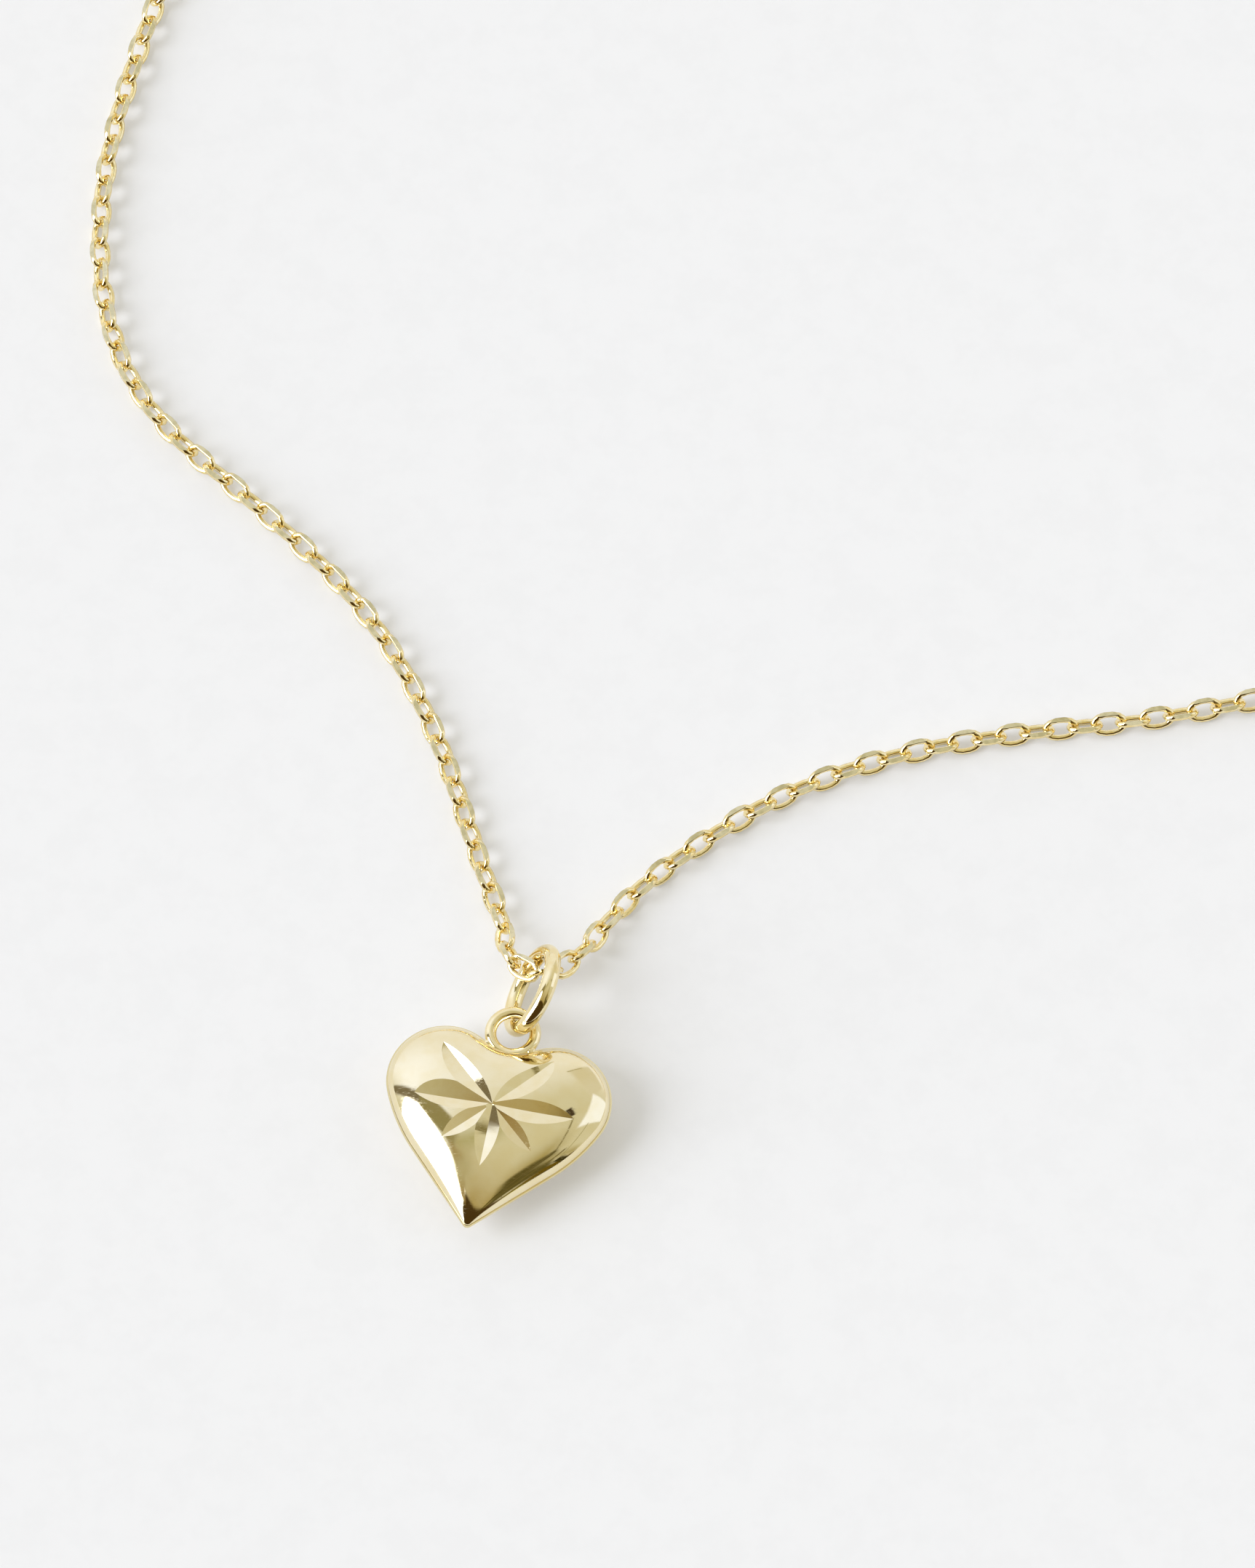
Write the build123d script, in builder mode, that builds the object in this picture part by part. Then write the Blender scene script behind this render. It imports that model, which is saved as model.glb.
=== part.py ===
from build123d import *
from math import acos, asin, atan2, cos, degrees, hypot, pi, radians, sin, sqrt, tan
import os

# Heart pendant necklace, laid on a flat surface at z = 0. Millimetres, +Z up, +Y towards the
# clasp. The origin is the middle of the laid loop, on the surface.

# Puffed heart: two domed stampings soldered at the rim. In its own frame the two flanks point
# at (0, 0), +Y runs towards the cleft and the back dome rests on z = 0.
heart_width = 11.2
heart_height = 10.25
heart_thickness = 3.4
heart_wall = 0.3
lobe_radius = 2.88
side_radius = 8.7
flank_spread = 3.2
cleft_depth = 0.85
crown_height = 6.05
seam_step = 0.08
eye_place = (-48.135, -70.121)
heart_lean = 12.3

# Dome of one stamping: each section's height above the seam and its size, as shares of the
# half, how much of the cleft is left in it, and its tip's radius as a share of the lobe's.
DOME = (
    # height, size, cleft, tip
    (0.00, 1.000, 1.00, 0.09),
    (0.30, 0.962, 0.95, 0.14),
    (0.60, 0.825, 0.80, 0.22),
    (0.85, 0.585, 0.60, 0.24),
    (1.00, 0.260, 0.40, 0.14),
)

# Star cut in the front dome: straight V cuts that fall from the crown and run out on the dome.
cut_slope = 22.0
cut_half_width = 0.75
cut_overrun = 0.5
CUTS = (
    # direction from the heart's +X in degrees, length as a share of the heart's half width
    (4.0, 0.715),
    (52.0, 0.690),
    (137.0, 0.760),
    (180.0, 0.700),
    (224.0, 0.525),
    (271.0, 0.560),
    (321.0, 0.535),
)

# Wire eye, soldered in the cleft in the plane of the rim.
eye_wire = 0.5
eye_radius = 1.14
eye_sink = 0.3
solder_radius = 0.34
solder_angle = 38.0

# Round jump ring through the eye, leaning to the right with the chain over its far end.
ring_wire = 0.8
ring_radius = 2.05
ring_heading = 17.4
ring_pitch = 4.2
ring_lean = 26.3
ring_lift = 0.02
hook_gap = 0.2
hook_side = 22.0

# Cable chain, as the tube that its links lie in. The points are the route from one end of the
# clasp, round the loop and through the jump ring, to the clasp's other end.
chain_diameter = 1.1
route_share = 0.45
ROUTE = (
    (33.8, 74.8, 1.20),
    (27.4, 77.3, 0.60),
    (13.5, 80.6, 0.55),
    (-11.8, 78.5, 0.55),
    (-35.5, 62.5, 0.55),
    (-50.2, 36.0, 0.55),
    (-58.9, 13.2, 0.55),
    (-65.1, -4.8, 0.55),
    (-68.2, -14.2, 0.55),
    (-69.9, -21.9, 0.55),
    (-69.7, -29.7, 0.55),
    (-67.0, -35.8, 0.55),
    (-60.9, -41.1, 0.55),
    (-55.4, -46.8, 0.55),
    (-52.0, -53.4, 0.55),
    (-49.8, -60.7, 0.55),
    (-48.8, -64.3, 0.63),
    (-47.95, -67.2, 2.23),
    (-46.0, -67.25, 2.03),
    (-44.4, -64.8, 0.70),
    (-41.2, -61.1, 0.55),
    (-35.4, -57.0, 0.55),
    (-29.0, -54.5, 0.55),
    (-22.0, -53.3, 0.55),
    (-15.1, -52.6, 0.55),
    (-5.9, -50.4, 0.55),
    (12.0, -45.6, 0.55),
    (34.0, -40.8, 0.55),
    (56.6, -24.6, 0.55),
    (70.4, 2.0, 0.55),
    (70.4, 32.0, 0.55),
    (59.2, 54.8, 0.55),
    (49.2, 65.0, 0.60),
    (43.4, 69.5, 1.20),
)

# Clasp: one plain barrel with an eyelet at each end.
barrel_diameter = 2.4
barrel_round = 0.8
groove_depth = 0.12
eyelet_wire = 0.4
eyelet_radius = 0.65
eyelet_sink = 0.2
end_gap = 0.15

os.makedirs("parts", exist_ok=True)

seam_z = heart_thickness / 2
half_width = heart_width / 2
# A flank leaves the tip a little wider than the line from there that just touches its lobe.
lobe_out = half_width - lobe_radius
lobe_up = heart_height - lobe_radius
flank_angle = degrees(atan2(lobe_out, lobe_up) + asin(lobe_radius / hypot(lobe_out, lobe_up))) + flank_spread


def heart_section(level, size, cleft, tip, inset):
    """Face inside one section of the dome: the heart's outline, sized about the crown."""
    flank = radians(flank_angle)
    low = -crown_height * size + inset / sin(flank)
    top = (heart_height - crown_height) * size - inset
    lobe = lobe_radius * size - inset
    side = side_radius * size - inset
    lobe_x = half_width * size - inset - lobe
    lobe_y = top - lobe
    # The side arc is tangent to the flank and holds the lobe's circle.
    gap_x = -side * cos(flank) - lobe_x
    gap_y = low + side * sin(flank) - lobe_y
    along = gap_x * sin(flank) + gap_y * cos(flank)
    run = -along - sqrt(along**2 - gap_x**2 - gap_y**2 + (side - lobe) ** 2)
    flank_end = (run * sin(flank), low + run * cos(flank))
    side_x = flank_end[0] - side * cos(flank)
    side_y = flank_end[1] + side * sin(flank)
    joint = degrees(atan2(lobe_y - side_y, lobe_x - side_x))
    # The cleft's hollow arc is tangent to both lobes.
    rise = top - cleft_depth * size * cleft - lobe_y
    hollow = (lobe_x**2 + rise**2 - lobe**2) / (2 * (lobe - rise))
    turn = degrees(atan2(rise + hollow, -lobe_x))
    tip_run = tip / tan(flank)
    with BuildSketch(Plane((0, crown_height, level))) as section:
        with BuildLine():
            CenterArc((0, low + tip / sin(flank)), tip, -90, 90 - flank_angle)
            Line((tip_run * sin(flank), low + tip_run * cos(flank)), flank_end)
            CenterArc((side_x, side_y), side, -flank_angle, joint + flank_angle)
            CenterArc((lobe_x, lobe_y), lobe, joint, turn - joint)
            CenterArc((0, lobe_y + rise + hollow), hollow, turn - 180, 90 - turn)
            mirror(about=Plane.YZ)
        make_face()
    return section.sketch


def dome_sections(direction, inset):
    """Sections of one domed half, from the seam up or down, set in from the outside."""
    depth = seam_z - max(inset - seam_step, 0)
    return [
        heart_section(seam_z + direction * depth * height, size, cleft, tip_share * lobe_radius, inset)
        for height, size, cleft, tip_share in DOME
    ]


with BuildPart() as cavity:
    loft(dome_sections(1, heart_wall + seam_step))
    loft(dome_sections(-1, heart_wall))

with BuildPart() as front:
    loft(dome_sections(1, seam_step))

with BuildPart() as heart:
    add(front.part)
    loft(dome_sections(-1, 0))
    eye_y = heart_height - cleft_depth + eye_radius + eye_wire / 2 - eye_sink
    with Locations((0, eye_y, seam_z)):
        Torus(eye_radius, eye_wire / 2)
    solder_x = eye_radius * cos(radians(solder_angle))
    solder_y = eye_y - eye_radius * sin(radians(solder_angle))
    with Locations((-solder_x, solder_y, seam_z), (solder_x, solder_y, seam_z)):
        Sphere(solder_radius, rotation=(90, 0, 0))
    add(cavity.part, mode=Mode.SUBTRACT)
    crown = Vector(0, crown_height, heart_thickness)
    cut_rise = cut_half_width * tan(radians(cut_slope))
    for direction, length in CUTS:
        out = Vector(cos(radians(direction)), sin(radians(direction)), 0)
        above = crown + out * length * half_width
        post = Edge.make_line((above.X, above.Y, seam_z), above)
        dome_z = front.part.intersect(post)[0].bounding_box().max.Z
        valley = Vector(above.X, above.Y, dome_z) - crown
        with BuildSketch(Plane(crown, x_dir=Vector(-out.Y, out.X, 0), z_dir=valley)):
            Polygon((0, 0), (cut_half_width, cut_rise), (-cut_half_width, cut_rise), align=None)
        extrude(amount=valley.length + cut_overrun, mode=Mode.SUBTRACT)

# The heart lies where its eye holds it, leaning to the right.
heart_place = Location((*eye_place, 0), (0, 0, -heart_lean)) * Location((0, -eye_y, 0))
heart.part = heart.part.moved(heart_place)
heart.part.label = "heart"
export_step(heart.part, "parts/heart.step")

# The ring's plane: its long way points from the heart to the chain, and it leans over that.
long_way = Vector(0, 1, 0).rotate(Axis.X, ring_pitch).rotate(Axis.Z, -ring_heading)
ring_normal = Vector(1, 0, 0).rotate(Axis.Z, -ring_heading).rotate(Axis((0, 0, 0), long_way), ring_lean)
short_way = ring_normal.cross(long_way)
# The ring stands on the surface, and its wire goes down through the eye beside the far side.
ring_slope = sqrt(long_way.Z**2 + short_way.Z**2)
ring_z = ring_wire / 2 + ring_radius * ring_slope + ring_lift
hook_turn = atan2(short_way.Z, long_way.Z) + acos((seam_z - ring_z) / (ring_radius * ring_slope))
hook_reach = eye_radius - eye_wire / 2 - ring_wire / 2 - hook_gap
hook_way = Vector(0, 1, 0).rotate(Axis.Z, -heart_lean - hook_side)
eye_centre = Vector(*eye_place, seam_z)
ring_arm = (long_way * cos(hook_turn) + short_way * sin(hook_turn)) * ring_radius
ring_centre = eye_centre + hook_way * hook_reach - ring_arm
with BuildPart(Plane(ring_centre, x_dir=long_way, z_dir=ring_normal)) as jump_ring:
    Torus(ring_radius, ring_wire / 2)
jump_ring.part.label = "jump_ring"
export_step(jump_ring.part, "parts/jump_ring.step")

# Each corner of the route is as round as its two runs allow.
points = [Vector(*point) for point in ROUTE]
runs = [end - start for start, end in zip(points, points[1:])]
radii = []
for before, after in zip(runs, runs[1:]):
    shorter = min(before.length, after.length)
    radii.append(route_share * shorter / tan(radians(before.get_angle(after)) / 2))
print("route radii", [round(radius, 1) for radius in radii])
with BuildPart() as chain:
    with BuildLine():
        path = FilletPolyline(*points, radius=radii)
    with BuildSketch(Plane(points[0], z_dir=runs[0])):
        Circle(chain_diameter / 2)
    sweep()
print("route length", round(path.length, 2))
print("chain volume", round(chain.part.volume, 2), "of", round(path.length * pi * chain_diameter**2 / 4, 2))
chain.part.label = "chain"
export_step(chain.part, "parts/chain.step")

# The clasp fills the gap between the two ends of the route.
clasp_span = points[-1] - points[0]
eyelet_out = 2 * eyelet_radius + eyelet_wire / 2 - eyelet_sink
barrel_length = clasp_span.length - 2 * (eyelet_out + end_gap)
eyelet_x = barrel_length / 2 + eyelet_radius - eyelet_sink
with BuildPart(Plane((points[0] + points[-1]) / 2, x_dir=clasp_span, z_dir=(0, 0, 1))) as clasp:
    Cylinder(barrel_diameter / 2, barrel_length, rotation=(0, 90, 0))
    fillet(clasp.edges().filter_by(GeomType.CIRCLE), barrel_round)
    Torus(barrel_diameter / 2, groove_depth, rotation=(0, 90, 0), mode=Mode.SUBTRACT)
    with Locations((-eyelet_x, 0, 0), (eyelet_x, 0, 0)):
        Torus(eyelet_radius, eyelet_wire / 2, rotation=(0, 0, 90))
clasp.part.label = "clasp"
export_step(clasp.part, "parts/clasp.step")
print("necklace length", round(path.length + clasp_span.length, 1))
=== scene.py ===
"""Heart pendant necklace on pale paper: puffed heart, jump ring, cable chain and clasp."""

import logging
from dataclasses import dataclass
from enum import Enum
from math import asin, atan2, cos, hypot, pi, radians, sin, sqrt, tan
from typing import Callable

import bpy
import numpy as np
from mathutils import Matrix, Vector


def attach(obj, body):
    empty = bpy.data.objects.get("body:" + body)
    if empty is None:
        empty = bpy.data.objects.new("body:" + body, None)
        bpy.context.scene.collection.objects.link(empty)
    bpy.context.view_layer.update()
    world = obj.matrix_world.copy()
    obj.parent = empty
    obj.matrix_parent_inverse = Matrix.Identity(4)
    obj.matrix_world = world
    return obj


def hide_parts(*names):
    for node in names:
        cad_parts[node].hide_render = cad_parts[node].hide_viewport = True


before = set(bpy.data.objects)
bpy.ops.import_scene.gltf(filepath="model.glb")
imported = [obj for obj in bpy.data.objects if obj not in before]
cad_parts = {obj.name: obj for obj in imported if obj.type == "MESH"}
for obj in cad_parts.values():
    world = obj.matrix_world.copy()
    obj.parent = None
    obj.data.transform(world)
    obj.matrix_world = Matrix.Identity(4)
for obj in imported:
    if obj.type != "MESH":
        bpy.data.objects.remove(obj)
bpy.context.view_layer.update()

LOG = logging.getLogger("necklace")
MILLIMETRES = Matrix.Scale(0.001, 4)
DOUBLED = 0.0002
UP = Vector((0, 0, 1))

Colour = tuple[float, float, float]


class Half(Enum):
    """One of the heart's two domed stampings, and the side of the seam that it stands on."""

    FRONT = 1
    BACK = -1


def start_afresh() -> None:
    """Leave edit mode and deselect every object."""
    if bpy.context.object and bpy.context.object.mode != "OBJECT":
        bpy.ops.object.mode_set(mode="OBJECT")
    bpy.ops.object.select_all(action="DESELECT")


def take_up(piece: bpy.types.Object) -> None:
    """Make a piece the only selected and the active one.

    Args:
        piece: The object to work on next.
    """
    start_afresh()
    piece.select_set(True)
    bpy.context.view_layer.objects.active = piece


def new_piece(name: str) -> bpy.types.Object:
    """Name the primitive that was just added.

    Args:
        name: The piece's name.

    Returns:
        The new object.
    """
    piece = bpy.context.object
    piece.name = name
    piece.data.name = name
    return piece


def wire_ring(
    name: str, radius: float, wire: float, sides: int, wire_sides: int, middle: tuple[float, ...] = (0, 0, 0)
) -> bpy.types.Object:
    """Make a round ring of wire, flat in XY.

    Args:
        name: The ring's name.
        radius: The radius of the wire's middle line.
        wire: The wire's diameter.
        sides: How many sections the ring has.
        wire_sides: How many sides the wire has.
        middle: The ring's middle.

    Returns:
        The ring.
    """
    start_afresh()
    bpy.ops.mesh.primitive_torus_add(
        major_radius=radius,
        minor_radius=wire / 2,
        major_segments=sides,
        minor_segments=wire_sides,
        location=middle,
    )
    ring = new_piece(name)
    bpy.ops.object.transform_apply(location=True, rotation=True, scale=True)
    return ring


def join(pieces: list[bpy.types.Object]) -> bpy.types.Object:
    """Join several pieces into the first one.

    Args:
        pieces: The objects, of which the first one stays.

    Returns:
        The joined object.
    """
    take_up(pieces[0])
    for piece in pieces[1:]:
        piece.select_set(True)
    bpy.ops.object.join()
    return pieces[0]


def select_faces(piece: bpy.types.Object, wanted: Callable[[bpy.types.MeshPolygon], bool]) -> None:
    """Select a mesh's faces by their place or normal, in object mode.

    Args:
        piece: The object whose faces are selected.
        wanted: Says of a face whether it is selected.
    """
    for edge in piece.data.edges:
        edge.select = False
    for vertex in piece.data.vertices:
        vertex.select = False
    for face in piece.data.polygons:
        face.select = wanted(face)


def face_outwards(piece: bpy.types.Object) -> None:
    """Merge a piece's doubled points and turn its faces outwards.

    Args:
        piece: A closed piece, in millimetres.
    """
    take_up(piece)
    bpy.ops.object.mode_set(mode="EDIT")
    bpy.ops.mesh.select_all(action="SELECT")
    bpy.ops.mesh.remove_doubles(threshold=DOUBLED)
    bpy.ops.mesh.normals_make_consistent(inside=False)
    bpy.ops.object.mode_set(mode="OBJECT")


def smooth(piece: bpy.types.Object, angle: float) -> None:
    """Shade a piece smooth up to an angle, keeping the edges that are marked sharp.

    Args:
        piece: The object.
        angle: The largest angle that still looks round, in degrees.
    """
    take_up(piece)
    bpy.ops.object.shade_smooth_by_angle(angle=radians(angle), keep_sharp_edges=True)


def hand_over(piece: bpy.types.Object, node: str, place: Matrix = Matrix()) -> None:
    """Args:
        piece: The object, made about its own origin.
        node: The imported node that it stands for.
        place: Where it goes, in millimetres.
    """
    piece.data.transform(MILLIMETRES @ place)
    piece.data.update()
    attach(piece, "root")
    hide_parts(node)
    LOG.info("%s: %d faces", piece.name, len(piece.data.polygons))


class NodeBench:
    """Adds nodes to a tree and wires them, left to right."""

    def __init__(self, tree: bpy.types.NodeTree) -> None:
        """Work on one tree.

        Args:
            tree: The node tree.
        """
        self.tree = tree

    def add(self, kind: str, inputs: dict[str, object] | None = None, **settings: object) -> bpy.types.Node:
        """Add a node.

        Args:
            kind: The node's type.
            inputs: Values or output sockets for its inputs, by name.
            **settings: The node's own properties.

        Returns:
            The new node.
        """
        node = self.tree.nodes.new(kind)
        for name, value in settings.items():
            setattr(node, name, value)
        for name, value in (inputs or {}).items():
            self.feed(node.inputs[name], value)
        return node

    def feed(self, socket: bpy.types.NodeSocket, value: object) -> None:
        """Give an input a value, or wire an output to it.

        Args:
            socket: The input.
            value: A number, a colour, or an output socket.
        """
        if isinstance(value, bpy.types.NodeSocket):
            self.tree.links.new(value, socket)
        else:
            socket.default_value = value

    def sum(self, operation: str, *values: object) -> bpy.types.NodeSocket:
        """Add a math node.

        Args:
            operation: The node's operation.
            *values: Its inputs, in order.

        Returns:
            The result's socket.
        """
        node = self.add("ShaderNodeMath", operation=operation)
        for socket, value in zip(node.inputs, values):
            self.feed(socket, value)
        return node.outputs[0]

    def ramp(
        self, value: object, low: object, high: object, out_low: float = 0.0, out_high: float = 1.0
    ) -> bpy.types.NodeSocket:
        """Bring a value from one range smoothly to another.

        Args:
            value: The socket to read.
            low: The range's start.
            high: The range's end.
            out_low: What the start becomes.
            out_high: What the end becomes.

        Returns:
            The result's socket.
        """
        node = self.add("ShaderNodeMapRange", interpolation_type="SMOOTHSTEP")
        for socket, number in zip(node.inputs, (value, low, high, out_low, out_high)):
            self.feed(socket, number)
        return node.outputs["Result"]

    def mix(self, mask: object, low: object, high: object) -> bpy.types.NodeSocket:
        """Mix two colours by a mask.

        Args:
            mask: The share of the second colour.
            low: The first colour.
            high: The second colour.

        Returns:
            The mixed colour's socket.
        """
        node = self.add("ShaderNodeMix", data_type="RGBA", clamp_factor=True)
        self.feed(node.inputs["Factor"], mask)
        self.feed(node.inputs[6], low)
        self.feed(node.inputs[7], high)
        return node.outputs[2]


def opaque(colour: Colour) -> tuple[float, float, float, float]:
    """Give a colour its alpha."""
    return (*colour, 1.0)


def new_group(
    name: str, inputs: tuple[str, ...], outputs: tuple[str, ...]
) -> tuple[NodeBench, bpy.types.Node, bpy.types.Node]:
    """Start a shader node group whose sockets are all plain numbers.

    Args:
        name: The group's name.
        inputs: Its inputs' names.
        outputs: Its outputs' names.

    Returns:
        The bench for its tree, its input node and its output node.
    """
    tree = bpy.data.node_groups.new(name, "ShaderNodeTree")
    for label in inputs:
        tree.interface.new_socket(label, in_out="INPUT", socket_type="NodeSocketFloat")
    for label in outputs:
        tree.interface.new_socket(label, in_out="OUTPUT", socket_type="NodeSocketFloat")
    bench = NodeBench(tree)
    return bench, bench.add("NodeGroupInput"), bench.add("NodeGroupOutput")


@dataclass
class PolishGroup:
    """What polishing leaves on gold: a faint swell, hairlines in all directions and pin specks.

    Args:
        name: The node group's name.
        turns: The hairlines' directions, in radians.
        tilt: How far the hairlines' pattern is tipped about +X and +Y, in radians.
        stretch: How much finer the hairlines' pattern is across them than along them.
        hairline_band: The noise at which a hairline starts, and at which it is whole.
        speck_band: The distance up to which a speck is whole, and at which it ends.
        tone_band: The swell at which the deep colour ends, and at which the bright one is whole.
        mark_depth: How deep a hairline or speck is, as a share of the swell.
        swell_detail: How many finer layers the swell has.
        hairline_detail: How many finer layers the hairlines have.
    """

    name: str = "polish marks"
    turns: tuple[float, ...] = (0.5, 1.7, 2.6)
    tilt: tuple[float, float] = (0.3, 0.2)
    stretch: float = 14.0
    hairline_band: tuple[float, float] = (0.66, 0.74)
    speck_band: tuple[float, float] = (0.06, 0.12)
    tone_band: tuple[float, float] = (0.35, 0.65)
    mark_depth: float = 0.04
    swell_detail: float = 2.0
    hairline_detail: float = 1.0

    def build(self) -> bpy.types.NodeTree:
        """Build the group.

        Returns:
            The node group, with the outputs Tone, Hairlines, Specks and Height.
        """
        scales = ("Swell Scale", "Hairline Scale", "Speck Scale")
        bench, enter, leave = new_group(self.name, scales, ("Tone", "Hairlines", "Specks", "Height"))
        swell_scale, hairline_scale, speck_scale = (enter.outputs[scale] for scale in scales)
        place = bench.add("ShaderNodeTexCoord").outputs["Object"]
        swell = bench.add(
            "ShaderNodeTexNoise", {"Vector": place, "Scale": swell_scale, "Detail": self.swell_detail}
        )
        lines = None
        for turn in self.turns:
            turned = bench.add(
                "ShaderNodeMapping",
                {"Vector": place, "Rotation": (*self.tilt, turn), "Scale": (1, self.stretch, 1)},
            )
            noise = bench.add(
                "ShaderNodeTexNoise",
                {"Vector": turned.outputs["Vector"], "Scale": hairline_scale, "Detail": self.hairline_detail},
            )
            line = bench.ramp(noise.outputs["Fac"], *self.hairline_band)
            lines = line if lines is None else bench.sum("MAXIMUM", lines, line)
        cells = bench.add("ShaderNodeTexVoronoi", {"Vector": place, "Scale": speck_scale})
        specks = bench.ramp(cells.outputs["Distance"], *self.speck_band, 1.0, 0.0)
        bench.feed(leave.inputs["Tone"], bench.ramp(swell.outputs["Fac"], *self.tone_band))
        bench.feed(leave.inputs["Hairlines"], lines)
        bench.feed(leave.inputs["Specks"], specks)
        marks = bench.sum("MULTIPLY", bench.sum("MAXIMUM", lines, specks), -self.mark_depth)
        bench.feed(leave.inputs["Height"], bench.sum("ADD", swell.outputs["Fac"], marks))
        return bench.tree


@dataclass(frozen=True)
class GoldFinish:
    """A polished gold surface.

    Args:
        name: The material's name.
        bright: Its colour where it is thinly worked.
        deep: Its colour where the swell runs low.
        roughness: The plain roughness.
        marked: How much a hairline or speck adds to the roughness.
        swell: Swells per metre.
        hairlines: Hairlines per metre.
        specks: Specks per metre.
        relief: The swell's height in metres.
    """

    name: str
    bright: Colour
    deep: Colour
    roughness: float
    marked: float
    swell: float
    hairlines: float
    specks: float
    relief: float

    def material(self, marks: bpy.types.NodeTree) -> bpy.types.Material:
        """Build the material.

        Args:
            marks: The polish marks' node group.

        Returns:
            The material.
        """
        material = bpy.data.materials.new(self.name)
        material.use_nodes = True
        bench = NodeBench(material.node_tree)
        gold = material.node_tree.nodes["Principled BSDF"]
        polish = bench.add("ShaderNodeGroup", node_tree=marks)
        scales = {"Swell Scale": self.swell, "Hairline Scale": self.hairlines, "Speck Scale": self.specks}
        for label, value in scales.items():
            polish.inputs[label].default_value = value
        colour = bench.mix(polish.outputs["Tone"], opaque(self.deep), opaque(self.bright))
        bench.feed(gold.inputs["Base Color"], colour)
        worn = bench.sum("MAXIMUM", polish.outputs["Hairlines"], polish.outputs["Specks"])
        bench.feed(gold.inputs["Roughness"], bench.sum("MULTIPLY_ADD", worn, self.marked, self.roughness))
        bump = bench.add("ShaderNodeBump", {"Strength": 1.0, "Distance": self.relief})
        bench.feed(bump.inputs["Height"], polish.outputs["Height"])
        bench.feed(gold.inputs["Normal"], bump.outputs["Normal"])
        gold.inputs["Metallic"].default_value = 1.0
        return material


@dataclass(frozen=True)
class PaperFinish:
    """The matt paper under the necklace.

    Args:
        name: The material's name.
        white: Its colour.
        shade: Its colour in the hollows of its grain.
        painted_glow: Painted light: the sheet lights itself evenly, which brings its tone up and lightens the
            shadows cast on it.
        grain: Mottles per metre.
        grain_detail: How many finer layers the mottle has.
        grain_roughness: How strong the finer layers are.
        grain_band: The noise at which the shade ends, and at which the white is whole.
        roughness: How matt it is.
        sheen: Its specular level.
    """

    name: str = "paper"
    white: Colour = (0.605, 0.601, 0.594)
    shade: Colour = (0.590, 0.586, 0.579)
    painted_glow: Colour = (0.262, 0.262, 0.262)
    grain: float = 400.0
    grain_detail: float = 3.0
    grain_roughness: float = 0.7
    grain_band: tuple[float, float] = (0.35, 0.6)
    roughness: float = 0.9
    sheen: float = 0.1

    def material(self) -> bpy.types.Material:
        """Build the material, with a soft mottle.

        Returns:
            The material.
        """
        material = bpy.data.materials.new(self.name)
        material.use_nodes = True
        bench = NodeBench(material.node_tree)
        sheet = material.node_tree.nodes["Principled BSDF"]
        place = bench.add("ShaderNodeTexCoord").outputs["Object"]
        mottle = bench.add(
            "ShaderNodeTexNoise",
            {
                "Vector": place,
                "Scale": self.grain,
                "Detail": self.grain_detail,
                "Roughness": self.grain_roughness,
            },
        )
        light = bench.ramp(mottle.outputs["Fac"], *self.grain_band)
        bench.feed(sheet.inputs["Base Color"], bench.mix(light, opaque(self.shade), opaque(self.white)))
        # Painted light: the sheet glows evenly by itself, lifting its tone and lightening the shadows cast on
        # it.
        sheet.inputs["Emission Color"].default_value = opaque(self.painted_glow)
        sheet.inputs["Emission Strength"].default_value = 1.0
        sheet.inputs["Roughness"].default_value = self.roughness
        sheet.inputs["Specular IOR Level"].default_value = self.sheen
        return material


@dataclass(frozen=True)
class Card:
    """One card or window of the studio, as the gold reflects it, measured in degrees from straight up.

    Args:
        light: Its brightness in each colour.
        east: How far its middle lies towards +X.
        north: How far its middle lies towards +Y.
        half_width: Half its width.
        half_height: Half its height.
        turn: How far it is turned, counterclockwise.
        softness: How wide its edge is.
    """

    light: Colour
    east: float
    north: float
    half_width: float
    half_height: float
    turn: float
    softness: float

    def measures(self) -> tuple[float, ...]:
        """Give the card's numbers as its node group takes them.

        Returns:
            The cosine and sine of its turn, its middle's place across and along it, and the two places
            across and the two along where its edge starts and ends.
        """
        cosine, sine = cos(radians(self.turn)), sin(radians(self.turn))
        half = self.softness / 2
        return (
            cosine,
            sine,
            -self.east * cosine - self.north * sine,
            self.east * sine - self.north * cosine,
            self.half_width - half,
            self.half_width + half,
            self.half_height - half,
            self.half_height + half,
        )
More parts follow.
